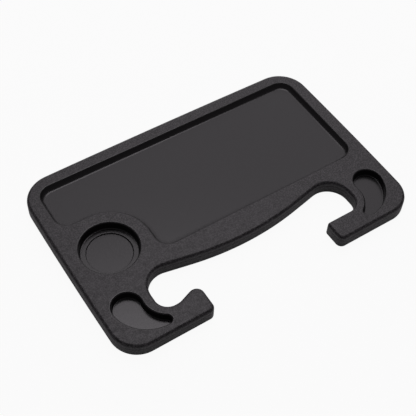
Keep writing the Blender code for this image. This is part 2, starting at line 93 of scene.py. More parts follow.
def add_node(tree: bpy.types.NodeTree, kind: str, settings: dict | None = None,
             **links: object) -> bpy.types.Node:
    """Add one node, set its properties and inputs, and link what feeds it.

    Args:
        tree: The node tree that takes the node.
        kind: Blender's name for the node's type.
        settings: Values by property name, or by input name where no property has it.
        links: Sockets or values by input name, with underscores for spaces.

    Returns:
        The new node.
    """
    node = tree.nodes.new(kind)
    for name, value in (settings or {}).items():
        if hasattr(node, name):
            setattr(node, name, value)
        else:
            node.inputs[name].default_value = value
    for name, value in links.items():
        socket = node.inputs[name.replace("_", " ")]
        if isinstance(value, bpy.types.NodeSocket):
            tree.links.new(value, socket)
        else:
            socket.default_value = value
    return node


def new_tree(name: str) -> tuple[bpy.types.Material, bpy.types.NodeTree, bpy.types.NodeSocket]:
    """Make a material with an empty node tree.

    Args:
        name: The material's name.

    Returns:
        The material, its node tree and the object coordinates that its textures follow.
    """
    material = bpy.data.materials.new(name)
    material.use_nodes = True
    tree = material.node_tree
    tree.nodes.clear()
    return material, tree, add_node(tree, "ShaderNodeTexCoord").outputs["Object"]


def add_noise(tree: bpy.types.NodeTree, place: bpy.types.NodeSocket, size_mm: float,
              detail: float, roughness: float = 0.5) -> bpy.types.NodeSocket:
    """Add a noise texture.

    Args:
        tree: The node tree that takes it.
        place: The coordinates that it follows.
        size_mm: Size of its features, in millimetres.
        detail: Count of the finer layers.
        roughness: Strength of each finer layer against the one before it.

    Returns:
        The texture's value.
    """
    settings = {"Scale": per_feature(size_mm), "Detail": detail, "Roughness": roughness}
    return add_node(tree, "ShaderNodeTexNoise", settings, Vector=place).outputs["Fac"]


def add_bump(tree: bpy.types.NodeTree, height: bpy.types.NodeSocket, depth_mm: float,
             **links: object) -> bpy.types.NodeSocket:
    """Add a bump this many millimetres deep, and give the normal that it makes."""
    settings = {"Strength": 1.0, "Distance": depth_mm * MM}
    return add_node(tree, "ShaderNodeBump", settings, Height=height, **links).outputs["Normal"]


def add_tones(tree: bpy.types.NodeTree, value: bpy.types.NodeSocket, colours: tuple[str, str],
              span: tuple[float, float] = (0.0, 1.0)) -> bpy.types.NodeSocket:
    """Add a ramp between two colours.

    Args:
        tree: The node tree that takes it.
        value: What it turns into a colour.
        colours: The two colours, as sRGB hex.
        span: The values at which the ramp starts and ends.

    Returns:
        The colour.
    """
    node = add_node(tree, "ShaderNodeValToRGB", Fac=value)
    for element, position, colour in zip(node.color_ramp.elements, span, colours):
        element.position = position
        element.color = srgb(colour)
    return node.outputs["Color"]


def add_spread(tree: bpy.types.NodeTree, value: bpy.types.NodeSocket, middle: float, swing: float,
               span: tuple[float, float] = (0.0, 1.0)) -> bpy.types.NodeSocket:
    """Turn the values of a span into a middle value give or take a swing."""
    settings = {"From Min": span[0], "From Max": span[1],
                "To Min": middle - swing, "To Max": middle + swing}
    return add_node(tree, "ShaderNodeMapRange", settings, Value=value).outputs["Result"]


def add_shader(tree: bpy.types.NodeTree, settings: dict, **links: object) -> None:
    """Add a Principled shader and link it to the material's output."""
    shader = add_node(tree, "ShaderNodeBsdfPrincipled", settings, **links)
    add_node(tree, "ShaderNodeOutputMaterial", Surface=shader.outputs["BSDF"])


@dataclass(frozen=True)
class GrainedAbs:
    """ABS moulded against a spark-eroded tool: a fine matt grain that scatters the gloss.

    The real grain is assumed to be a few tenths of a millimetre across, too fine to show at a
    millimetre a pixel, so it is drawn coarser. A slow mottle stands for the rim's uneven sheen.
    The grain's pale tone is a painted sheen: glints off the grain, painted into the base colour.
    """

    name: str = "abs_grained"
    colour: str = "#171617"
    # Pale tone of the grain: a painted sheen, the grain's glints drawn into the colour, not wear.
    sheen_speckle_colour: str = "#4e4c4e"
    tone_span: tuple[float, float] = (0.44, 0.62)
    roughness: float = 0.45
    roughness_swing: float = 0.05
    mottle_span: tuple[float, float] = (0.35, 0.65)
    ior: float = 1.53
    grain_mm: float = 1.7
    pit_mm: float = 2.2
    pit_softness: float = 0.5
    mottle_mm: float = 6.0
    grain_depth_mm: float = 0.09
    pit_depth_mm: float = 0.04

    def build(self) -> bpy.types.Material:
        """Build the material."""
        material, tree, place = new_tree(self.name)
        grain = add_noise(tree, place, self.grain_mm, detail=3.0, roughness=0.6)
        pits = add_node(tree, "ShaderNodeTexVoronoi",
                        {"feature": "SMOOTH_F1", "Scale": per_feature(self.pit_mm),
                         "Smoothness": self.pit_softness}, Vector=place)
        mottle = add_noise(tree, place, self.mottle_mm, detail=4.0, roughness=0.65)
        pitted = add_bump(tree, pits.outputs["Distance"], self.pit_depth_mm)
        add_shader(tree, {"IOR": self.ior},
                   # The grain mixes the black with painted sheen speckle.
                   Base_Color=add_tones(tree, grain, (self.colour, self.sheen_speckle_colour),
                                        self.tone_span),
                   Roughness=add_spread(tree, mottle, self.roughness, self.roughness_swing,
                                        self.mottle_span),
                   Normal=add_bump(tree, grain, self.grain_depth_mm, Normal=pitted))
        return material


@dataclass(frozen=True)
class SmoothAbs:
    """ABS moulded against a stoned, unpolished tool face: a satin with a faint flow waviness."""

    name: str = "abs_smooth"
    colour: str = "#171617"
    roughness: float = 0.25
    roughness_swing: float = 0.02
    ior: float = 1.53
    wave_mm: float = 34.0
    haze_mm: float = 6.0
    wave_depth_mm: float = 0.05

    def build(self) -> bpy.types.Material:
        """Build the material."""
        material, tree, place = new_tree(self.name)
        wave = add_noise(tree, place, self.wave_mm, detail=1.0)
        haze = add_noise(tree, place, self.haze_mm, detail=3.0)
        add_shader(tree, {"Base Color": srgb(self.colour), "IOR": self.ior},
                   Roughness=add_spread(tree, haze, self.roughness, self.roughness_swing),
                   Normal=add_bump(tree, wave, self.wave_depth_mm))
        return material


@dataclass(frozen=True)
class BlackOxideSteel:
    """Carbon steel blackened in a hot salt bath: a thin oily oxide over the bare metal's gloss."""

    name: str = "steel_black_oxide"
    colour: str = "#2a2a2c"
    rubbed_colour: str = "#4a4a4c"
    roughness: float = 0.38
    metallic: float = 1.0
    blot_mm: float = 1.2
    blot_span: tuple[float, float] = (0.4, 0.8)

    def build(self) -> bpy.types.Material:
        """Build the material."""
        material, tree, place = new_tree(self.name)
        blot = add_noise(tree, place, self.blot_mm, detail=3.0)
        add_shader(tree, {"Metallic": self.metallic, "Roughness": self.roughness},
                   Base_Color=add_tones(tree, blot, (self.colour, self.rubbed_colour),
                                        self.blot_span))
        return material


@dataclass(frozen=True)
class MouldedRubber:
    """Compression-moulded black rubber: dull, with a dusty bloom and a shallow skin texture."""

    name: str = "rubber_moulded"
    colour: str = "#161616"
    bloom_colour: str = "#232322"
    roughness: float = 0.85
    ior: float = 1.52
    skin_mm: float = 0.8
    bloom_mm: float = 5.0
    skin_depth_mm: float = 0.03

    def build(self) -> bpy.types.Material:
        """Build the material."""
        material, tree, place = new_tree(self.name)
        bloom = add_noise(tree, place, self.bloom_mm, detail=4.0)
        skin = add_noise(tree, place, self.skin_mm, detail=2.0)
        add_shader(tree, {"Roughness": self.roughness, "IOR": self.ior},
                   Base_Color=add_tones(tree, bloom, (self.colour, self.bloom_colour)),
                   Normal=add_bump(tree, skin, self.skin_depth_mm))
        return material


@dataclass(frozen=True)
class WhitePaper:
    """Matt white background paper. It shows as plain white, and keeps part of the tray's shadow."""

    name: str = "background_paper"
    colour: str = "#f4f4f4"
    fibre_colour: str = "#ffffff"
    fibre_mm: float = 3.0
    shadow_share: float = 0.06
    mirrored_share: float = 0.15

    def build(self) -> bpy.types.Material:
        """Build the material."""
        material, tree, place = new_tree(self.name)
        fibre = add_noise(tree, place, self.fibre_mm, detail=3.0)
        paper = add_node(tree, "ShaderNodeBsdfDiffuse",
                         Color=add_tones(tree, fibre, (self.colour, self.fibre_colour)))
        white = add_node(tree, "ShaderNodeEmission", {"Strength": 1.0})
        path = add_node(tree, "ShaderNodeLightPath")
        mirror = add_node(tree, "ShaderNodeMath", {"operation": "MAXIMUM"})
        tree.links.new(path.outputs["Is Glossy Ray"], mirror.inputs[0])
        tree.links.new(path.outputs["Is Transmission Ray"], mirror.inputs[1])
        straight = add_node(tree, "ShaderNodeMath", {"operation": "MULTIPLY"})
        straight.inputs[1].default_value = 1.0 - self.shadow_share
        tree.links.new(path.outputs["Is Camera Ray"], straight.inputs[0])
        share = add_node(tree, "ShaderNodeMath", {"operation": "MULTIPLY_ADD"})
        share.inputs[1].default_value = self.mirrored_share
        tree.links.new(mirror.outputs["Value"], share.inputs[0])
        tree.links.new(straight.outputs["Value"], share.inputs[2])
        mix = add_node(tree, "ShaderNodeMixShader", Fac=share.outputs["Value"])
        tree.links.new(paper.outputs["BSDF"], mix.inputs[1])
        tree.links.new(white.outputs["Emission"], mix.inputs[2])
        add_node(tree, "ShaderNodeOutputMaterial", Surface=mix.outputs["Shader"])
        return material


@dataclass(frozen=True)
class Arc:
    """One arc of a plan outline. Anticlockwise arcs bulge outwards, clockwise ones are hollow."""

    centre: Vector
    radius: float
    start: float
    sweep: float
    meets_next: bool = False
    angle_step: float = math.radians(5)
    chord: float = 10 * MM
    most_chords: int = 16

    def points(self, grow: float) -> list[Vector]:
        """Points along the arc, with the same count however far the outline is moved.

        Args:
            grow: How far the outline is moved outwards.

        Returns:
            The points, without the last one where the next arc starts on it.
        """
        by_angle = abs(self.sweep) / self.angle_step
        by_length = min(abs(self.sweep) * self.radius / self.chord, self.most_chords)
        steps = 2 * math.ceil(max(by_angle, by_length, 2) / 2)
        radius = self.radius + math.copysign(1.0, self.sweep) * grow
        last = steps if self.meets_next else steps + 1
        angles = [self.start + self.sweep * step / steps for step in range(last)]
        return [self.centre + radius * Vector((math.cos(a), math.sin(a))) for a in angles]


@dataclass(frozen=True)
class Outline:
    """A closed plan outline made of arcs and the straight lines between them."""

    arcs: tuple[Arc, ...]

    def ring(self, grow: float) -> list[Vector]:
        """The outline's points, moved outwards by grow and kept in step with every other ring."""
        return [point for arc in self.arcs for point in arc.points(grow)]

    def mirrored(self) -> "Outline":
        """The same outline on the other half of the tray."""
        turned = []
        for index, arc in enumerate(self.arcs):
            meets = self.arcs[index - 1].meets_next
            turned.append(Arc(Vector((-arc.centre.x, arc.centre.y)), arc.radius,
                              math.pi - arc.start - arc.sweep, arc.sweep, meets))
        return Outline(tuple(reversed(turned)))


def rounded(corners: Sequence[tuple[float, float, float]]) -> Outline:
    """Round the corners of an anticlockwise polygon.

    Args:
        corners: X, Y and radius of each corner.

    Returns:
        The outline of one arc at each corner.
    """
    arcs = []
    for index, (x, y, radius) in enumerate(corners):
        corner = Vector((x, y))
        before = (Vector(corners[index - 1][:2]) - corner).normalized()
        after = (Vector(corners[(index + 1) % len(corners)][:2]) - corner).normalized()
        half = before.angle(after) / 2
        centre = corner + (before + after).normalized() * radius / math.sin(half)
        reach = radius / math.tan(half)
        first = corner + before * reach - centre
        last = corner + after * reach - centre
        arcs.append(Arc(centre, radius, math.atan2(first.y, first.x), -first.angle_signed(last)))
    return Outline(tuple(arcs))


def circle(centre: Vector, radius: float, step: float = 5.0) -> Outline:
    """Make a round outline with a point every few degrees."""
    return Outline((Arc(centre, radius, 0.0, 2 * math.pi, True, math.radians(step)),))


def crown(reach: float, rise: float) -> tuple[float, float]:
    """Radius, and slope at its ends, of the arc that bows a side out by the given rise."""
    radius = (reach**2 + rise**2) / (2 * rise)
    return radius, reach / math.sqrt(radius**2 - reach**2)


def crossing(first: Vector, first_radius: float, second: Vector, second_radius: float) -> Vector:
    """Find where two circles cross, to the left of the way from the first to the second."""
    along = second - first
    distance = along.length
    along = along / distance
    reach = (first_radius**2 - second_radius**2 + distance**2) / (2 * distance)
    offset = math.sqrt(max(0.0, first_radius**2 - reach**2))
    return first + along * reach + Vector((-along.y, along.x)) * offset


@dataclass(frozen=True)
class TrayPlan:
    """Plan sizes of the tray and the outlines they give."""

    width: float = 421.6 * MM
    depth: float = 277.8 * MM
    back_crown: float = 1.0 * MM
    side_crown: float = 0.8 * MM
    back_corner: float = 40 * MM
    front_corner: float = 35.2 * MM

    arm_width: float = 66.3 * MM
    finger_length: float = 54.1 * MM
    finger_width: float = 30 * MM
    finger_corner: float = 8 * MM
    finger_inner: float = 4.5 * MM
    hump_height: float = 7 * MM
    hump_length: float = 12.2 * MM
    hump_slope_length: float = 18.9 * MM
    hump_tip: float = 10 * MM
    hump_shoulder: float = 10 * MM
    hump_blend: float = 21 * MM

    notch_lower: float = 16.8 * MM
    notch_upper: float = 27.5 * MM
    bulge_setback: float = 67.6 * MM
    bulge_radius: float = 385 * MM
    bulge_slope: float = math.radians(11.6)

    side_rim: float = 17.4 * MM
    back_rim: float = 16.9 * MM
    well_setback: float = 101.8 * MM
    well_corner: float = 20.3 * MM
    cup_rim: float = 18.1 * MM
    cup_radius: float = 38.6 * MM
    cup_setback: float = 137.5 * MM
    cup_surround: float = 13.6 * MM

    bulb_radius: float = 20.25 * MM
    bulb_inset: float = 34.55 * MM
    bulb_setback: float = 55.5 * MM
    tip_radius: float = 7.7 * MM
    tip_inset: float = 64.6 * MM
    tip_setback: float = 17.5 * MM
    comma_back: float = 50.5 * MM
    comma_hollow: float = 30 * MM

    @property
    def half_width(self) -> float:
        """Half of the overall width."""
        return self.width / 2

    @property
    def front_y(self) -> float:
        """The fingers' front edge."""
        return -self.depth / 2

    @property
    def notch_x(self) -> float:
        """The notches' outer sides."""
        return self.half_width - self.arm_width

    @property
    def tip_x(self) -> float:
        """The fingers' tips."""
        return self.notch_x - self.finger_length

    @property
    def well_x(self) -> float:
        """The well's side lips."""
        return self.half_width - self.side_rim

    @property
    def cup_centre(self) -> Vector:
        """Centre of the cup recess."""
        return Vector((self.cup_rim + self.cup_radius - self.half_width,
                       self.front_y + self.cup_setback))

    def tray(self) -> Outline:
        """Outer edge of both shells."""
        finger_y = self.front_y + self.finger_width
        notch_x = self.notch_x
        hump_y = finger_y + self.hump_height
        hump_end = -self.tip_x - self.hump_length
        bulge_y = (self.front_y + self.bulge_setback
                   - self.bulge_radius * (1 / math.cos(self.bulge_slope) - 1))
        notch_y = bulge_y + math.tan(self.bulge_slope) * notch_x

        end_x = self.half_width - self.side_crown
        back_end = self.depth / 2 - self.back_crown
        near = self.front_y + self.front_corner
        far = back_end - self.back_corner
        side_reach = (far - near) / 2
        side_radius, side_slope = crown(side_reach, self.side_crown)
        side_x = end_x + side_slope * side_reach
        side_y = (near + far) / 2
        front_x = end_x - side_slope * self.front_corner
        back_x = end_x - side_slope * self.back_corner
        back_reach = back_x - self.back_corner
        back_radius, back_slope = crown(back_reach, self.back_crown)
        back_y = back_end - back_slope * self.back_corner
        return rounded([
            (-front_x, self.front_y, self.front_corner),
            (-self.tip_x, self.front_y, self.finger_corner),
            (-self.tip_x, hump_y, self.hump_tip),
            (hump_end, hump_y, self.hump_shoulder),
            (hump_end - self.hump_slope_length, finger_y, self.hump_blend),
            (-notch_x, finger_y, self.notch_lower),
            (-notch_x, notch_y, self.notch_upper),
            (0.0, bulge_y, self.bulge_radius),
            (notch_x, notch_y, self.notch_upper),
            (notch_x, finger_y, self.notch_lower),
            (self.tip_x, finger_y, self.finger_inner),
            (self.tip_x, self.front_y, self.finger_corner),
            (front_x, self.front_y, self.front_corner),
            (side_x, side_y, side_radius),
            (back_x, back_y, self.back_corner),
            (0.0, back_end + back_slope * back_reach, back_radius),
            (-back_x, back_y, self.back_corner),
            (-side_x, side_y, side_radius),
        ])

    def well(self) -> Outline:
        """Lip of the main well, with the lobe of rim round the cup recess."""
        lobe = self.cup_radius + self.cup_surround
        lobe_x = self.cup_centre.x + lobe
        lobe_y = self.cup_centre.y + lobe
        back_y = self.depth / 2 - self.back_rim
        front_y = self.front_y + self.well_setback
        return rounded([
            (lobe_x, front_y, self.well_corner),
            (self.well_x, front_y, self.well_corner),
            (self.well_x, back_y, self.well_corner),
            (-self.well_x, back_y, self.well_corner),
            (-self.well_x, lobe_y, self.well_corner),
            (lobe_x, lobe_y, lobe),
        ])

    def comma(self, side: Side) -> Outline:
        """Lip of a comma recess, of four arcs: bulb, outer back, tip and inner hollow.

        Args:
            side: The half of the tray that it is in.

        Returns:
            The comma's outline.
        """
        bulb = Vector((self.bulb_inset - self.half_width, self.front_y + self.bulb_setback))
        tip = Vector((self.tip_inset - self.half_width, self.front_y + self.tip_setback))
        back = crossing(bulb, self.comma_back - self.bulb_radius,
                        tip, self.comma_back - self.tip_radius)
        hollow = crossing(bulb, self.comma_hollow + self.bulb_radius,
                          tip, self.comma_hollow + self.tip_radius)

        def heading(start: Vector, end: Vector) -> float:
            """Direction of the way from one point to another."""
            return math.atan2(end.y - start.y, end.x - start.x)

        def turn(start: float, end: float) -> float:
            """Anticlockwise turn between two directions."""
            return (end - start) % (2 * math.pi)

        bulb_in, tip_in = heading(bulb, hollow), heading(tip, hollow)
        bulb_out, tip_out = heading(back, bulb), heading(back, tip)
        outline = Outline((
            Arc(bulb, self.bulb_radius, bulb_in, turn(bulb_in, bulb_out), True),
            Arc(back, self.comma_back, bulb_out, turn(bulb_out, tip_out), True),
            Arc(tip, self.tip_radius, tip_out, turn(tip_out, tip_in), True),
            Arc(hollow, self.comma_hollow, tip_in + math.pi, -turn(bulb_in, tip_in), True),
        ))
        return outline if side is Side.LEFT else outline.mirrored()


@dataclass(frozen=True)
class TrayHeights:
    """Heights of the tray above the pads' lower faces, and the edges between them."""

    base: float = 1.0 * MM
    shell: float = 19 * MM
    seam_drop: float = 7 * MM
    gap: float = 0.3 * MM
    shoulder: float = 4.0 * MM
    foot: float = 1.2 * MM
    seam_edge: float = 0.3 * MM
    lap_lip: float = 1.0 * MM
    lap_height: float = 2.0 * MM
    wall: float = 2.5 * MM
    hold: float = 0.25 * MM

    @property
    def top(self) -> float:
        """The top face."""
        return self.base + self.shell

    @property
    def seam(self) -> float:
        """The upper shell's lower edge."""
        return self.top - self.seam_drop


@dataclass(frozen=True)
class Level:
    """One ring of a lofted surface: how far it stands in from the outline, and its height."""

    inset: float
    height: float


def bend(centre: Level, radius: float, start: float, end: float, steps: int = 6) -> list[Level]:
    """Levels round a bend of a profile.

    Args:
        centre: Where the bend's centre lies.
        radius: The bend's radius.
        start: Direction of the first level from the centre, in degrees. 0 points inwards, 90 up.
        end: Direction of the last level.
        steps: Count of the facets.

    Returns:
        The levels, with both ends.
    """
    angles = [math.radians(start + (end - start) * step / steps) for step in range(steps + 1)]
    return [Level(centre.inset + radius * math.cos(a), centre.height + radius * math.sin(a))
            for a in angles]


class Skin:
    """A mesh that grows by lofting rings between levels and by filling flat plates."""

    def __init__(self, name: str) -> None:
        """Start an empty skin with the given name."""
        self.name = name
        self.work = bmesh.new()

    def ring(self, outline: Outline, level: Level) -> Ring:
        """Add one ring of points."""
        return [self.work.verts.new((point.x, point.y, level.height))
                for point in outline.ring(-level.inset)]

    def band(self, first: Ring, second: Ring, region: Region) -> None:
        """Join two rings with a band of quads."""
        for index in range(len(first)):
            after = (index + 1) % len(first)
            face = self.work.faces.new((first[index], first[after], second[after], second[index]))
            face.material_index = region.value

    def loft(self, outline: Outline, levels: Sequence[Level], region: Region) -> tuple[Ring, Ring]:
        """Loft a surface through levels.

        Args:
            outline: The outline that every level follows.
            levels: The levels in order.
            region: The material slot of the faces.

        Returns:
            The first and the last ring.
        """
        rings = [self.ring(outline, level) for level in levels]
        for first, second in zip(rings, rings[1:]):
            self.band(first, second, region)
        return rings[0], rings[-1]

    def plate(self, rims: Iterable[Ring], region: Region) -> None:
        """Fill a flat plate between an outer rim and any holes in it."""
        edges = []
        for rim in rims:
            for index, vertex in enumerate(rim):
                pair = (vertex, rim[(index + 1) % len(rim)])
                edges.append(self.work.edges.get(pair) or self.work.edges.new(pair))
        filled = bmesh.ops.triangle_fill(self.work, use_beauty=True, use_dissolve=False,
                                         edges=edges)
        for face in filled["geom"]:
            if isinstance(face, bmesh.types.BMFace):
                face.material_index = region.value

    def finish(self, materials: Sequence[bpy.types.Material], up: bool) -> bpy.types.Object:
        """Turn the skin into a smooth object.

        Args:
            materials: The material of each slot.
            up: Whether the largest flat face looks up, or else down.

        Returns:
            The new object, linked to the scene.
        """
        bmesh.ops.recalc_face_normals(self.work, faces=self.work.faces)
        largest = max(self.work.faces, key=lambda face: abs(face.normal.z) * face.calc_area())
        if (largest.normal.z > 0) is not up:
            bmesh.ops.reverse_faces(self.work, faces=self.work.faces)
        mesh = bpy.data.meshes.new(self.name)
        self.work.to_mesh(mesh)
        self.work.free()
        mesh.shade_smooth()
        for material in materials:
            mesh.materials.append(material)
        item = bpy.data.objects.new(self.name, mesh)
        bpy.context.scene.collection.objects.link(item)
        return item


def settle(piece: bpy.types.Object, node: str) -> None:
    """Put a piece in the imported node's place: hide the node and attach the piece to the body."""
    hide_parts(node)
    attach(piece, BODY)
    log.info("%s stands for %s: %d faces", piece.name, node, len(piece.data.polygons))


@dataclass(frozen=True)
class Recess:
    """Profile of a recess: depth, radii of its floor's edge and lip, and the wall's slope."""

    depth: float
    floor_edge: float
    lip: float = 2.0 * MM
    draft: float = math.radians(4)


@dataclass
class UpperShell:
    """Upper moulding: the rim, the shoulder, the upper wall and every recess."""

    plan: TrayPlan
    heights: TrayHeights
    well: Recess = Recess(depth=6.5 * MM, floor_edge=6.2 * MM, draft=math.radians(28))
    cup: Recess = Recess(depth=10.8 * MM, floor_edge=1.6 * MM)
    comma: Recess = Recess(depth=10 * MM, floor_edge=1.2 * MM)
    step_radius: float = 28.6 * MM
    step_depth: float = 1.8 * MM
    step_edge: float = 0.65 * MM

    def recess_levels(self, recess: Recess) -> list[Level]:
        """Levels of a recess from the top face to its floor: lip, sloped wall and floor edge.

        Args:
            recess: The recess's profile.

        Returns:
            The levels, which start just outside the lip and end just inside the floor's edge.
        """
        h = self.heights
        slope = math.degrees(recess.draft)
        levels = [Level(-h.hold, h.top)]
        levels += bend(Level(0.0, h.top - recess.lip), recess.lip, 90, slope)
        lip_end = levels[-1]
        floor = h.top - recess.depth
        wall_end = floor + recess.floor_edge * (1 - math.sin(recess.draft))
        run = (lip_end.height - wall_end) * math.tan(recess.draft)
        reach = recess.floor_edge * math.cos(recess.draft)
        centre = Level(lip_end.inset + run + reach, floor + recess.floor_edge)
        levels += bend(centre, recess.floor_edge, 180 + slope, 270)
        levels.append(Level(centre.inset + h.hold, floor))
        return levels

    def outer_levels(self) -> list[Level]:
        """Levels from the top face over the shoulder, down the wall and in under the seam."""
        h = self.heights
        levels = [Level(h.shoulder + h.hold, h.top)]
        levels += bend(Level(h.shoulder, h.top - h.shoulder), h.shoulder, 90, 180, steps=8)
        levels += [Level(0.0, h.top - h.shoulder - h.hold),
                   Level(0.0, h.seam + h.seam_edge + h.hold)]
        levels += bend(Level(h.seam_edge, h.seam + h.seam_edge), h.seam_edge, 180, 270, steps=4)
        levels += [Level(h.lap_lip, h.seam), Level(h.lap_lip, h.seam + h.lap_height),
                   Level(h.wall, h.seam + h.lap_height)]
        return levels

    def add_cup_step(self, skin: Skin, rim: Ring) -> None:
        """Close the cup recess's floor with its lower inner step.

        Args:
            skin: The skin that takes the step.
            rim: The ring at the edge of the recess's floor.
        """
        h = self.heights
        edge = self.step_edge
        floor = h.top - self.cup.depth
        low = floor - self.step_depth
        hole = circle(self.plan.cup_centre, self.step_radius)
        levels = [Level(-edge - h.hold, floor)]
        levels += bend(Level(-edge, floor - edge), edge, 90, 0, steps=4)
        levels += bend(Level(edge, low + edge), edge, 180, 270, steps=4)
        levels.append(Level(edge + h.hold, low))
        first, last = skin.loft(hole, levels, Region.SMOOTH)
        skin.band(rim, first, Region.SMOOTH)
        skin.plate([last], Region.SMOOTH)

    def build(self, grained: bpy.types.Material, smooth: bpy.types.Material) -> bpy.types.Object:
        """Build the shell.

        Args:
            grained: Finish of the rim and walls.
            smooth: Finish of the recesses.

        Returns:
            The shell.
        """
        skin = Skin("upper_shell")
        rims = [skin.loft(self.plan.tray(), self.outer_levels(), Region.GRAINED)[0]]
        for outline, recess in ((self.plan.well(), self.well),
                                (self.plan.comma(Side.LEFT), self.comma),
                                (self.plan.comma(Side.RIGHT), self.comma)):
            first, last = skin.loft(outline, self.recess_levels(recess), Region.SMOOTH)
            rims.append(first)
            skin.plate([last], Region.SMOOTH)
        first, last = skin.loft(circle(self.plan.cup_centre, self.plan.cup_radius),
                                self.recess_levels(self.cup), Region.SMOOTH)
        rims.append(first)
        self.add_cup_step(skin, last)
        skin.plate(rims, Region.GRAINED)
        return skin.finish((grained, smooth), up=True)


@dataclass
class Screw:
    """Pan-head screw set head down in a counterbore: its head, cross recess and neck."""

    radius: float = 1.45 * MM
    head_radius: float = 2.8 * MM
    head_height: float = 1.8 * MM
    head_edge: float = 0.7 * MM
    drive_length: float = 3.2 * MM
    drive_width: float = 0.9 * MM
    drive_depth: float = 1.1 * MM
    drive_corner: float = 0.12 * MM
    drive_taper: float = 0.18 * MM
    hold: float = 0.05 * MM
    facet_step: float = 15.0

    def drive(self, place: Vector) -> Outline:
        """Outline of the cross recess."""
        long = self.drive_length / 2
        thin = self.drive_width / 2
        arm = [(long, -thin), (long, thin), (thin, thin)]
        corners = []
        for quarter in range(4):
            turn = Matrix.Rotation(math.pi / 2 * quarter, 2)
            for x, y in arm:
                spot = place + turn @ Vector((x, y))
                corners.append((spot.x, spot.y, self.drive_corner))
        return rounded(corners)

    def build(self, name: str, place: Vector, seat: float,
              material: bpy.types.Material) -> bpy.types.Object:
        """Build the screw with its head against a seat above it.

        Args:
            name: Name of the piece.
            place: Plan position.
            seat: Height of the head's upper face.
            material: The screw's finish.

        Returns:
            The screw.
        """
        skin = Skin(name)
        low = seat - self.head_height
        shank = self.head_radius - self.radius
        head = circle(place, self.head_radius, self.facet_step)
        levels = [Level(shank, seat + self.hold), Level(shank, seat), Level(0.0, seat),
                  Level(0.0, low + self.head_edge)]
        levels += bend(Level(self.head_edge, low + self.head_edge), self.head_edge, 180, 270)[1:]
        levels.append(Level(self.head_edge + self.hold, low))
        upper, face = skin.loft(head, levels, Region.GRAINED)
        drive = self.drive(place)
        mouth = [Level(-self.hold, low), Level(0.0, low + self.hold),
                 Level(self.drive_taper, low + self.drive_depth)]
        outer, inner = skin.loft(drive, mouth, Region.GRAINED)
        skin.plate([face, outer], Region.GRAINED)
        skin.plate([inner], Region.GRAINED)
        skin.plate([upper], Region.GRAINED)
        return skin.finish((material,), up=False)


@dataclass
class Pad:
    """Round rubber pad with a rolled edge and a shallow ring moulded in the face it stands on."""

    radius: float = 7 * MM
    thickness: float = 1.8 * MM
    edge: float = 0.4 * MM
    ring_radius: float = 4.6 * MM
    ring_depth: float = 0.25 * MM
    hold: float = 0.08 * MM
    facet_step: float = 10.0

    def build(self, name: str, place: Vector, rubber: bpy.types.Material) -> bpy.types.Object:
        """Build the pad.

        Args:
            name: Name of the piece.
            place: Plan position.
            rubber: The pad's finish.

        Returns:
            The pad.
        """
        skin = Skin(name)
        dish = self.radius - self.ring_radius
        levels = [Level(self.hold, self.thickness), Level(0.0, self.thickness - self.hold)]
        levels += bend(Level(self.edge, self.edge), self.edge, 180, 270)
        levels += [Level(self.edge + self.hold, 0.0), Level(dish - self.ring_depth, 0.0),
                   Level(dish, self.ring_depth), Level(dish + self.hold, self.ring_depth)]
        upper, face = skin.loft(circle(place, self.radius, self.facet_step), levels, Region.GRAINED)
        skin.plate([upper], Region.GRAINED)
        skin.plate([face], Region.GRAINED)
        return skin.finish((rubber,), up=False)


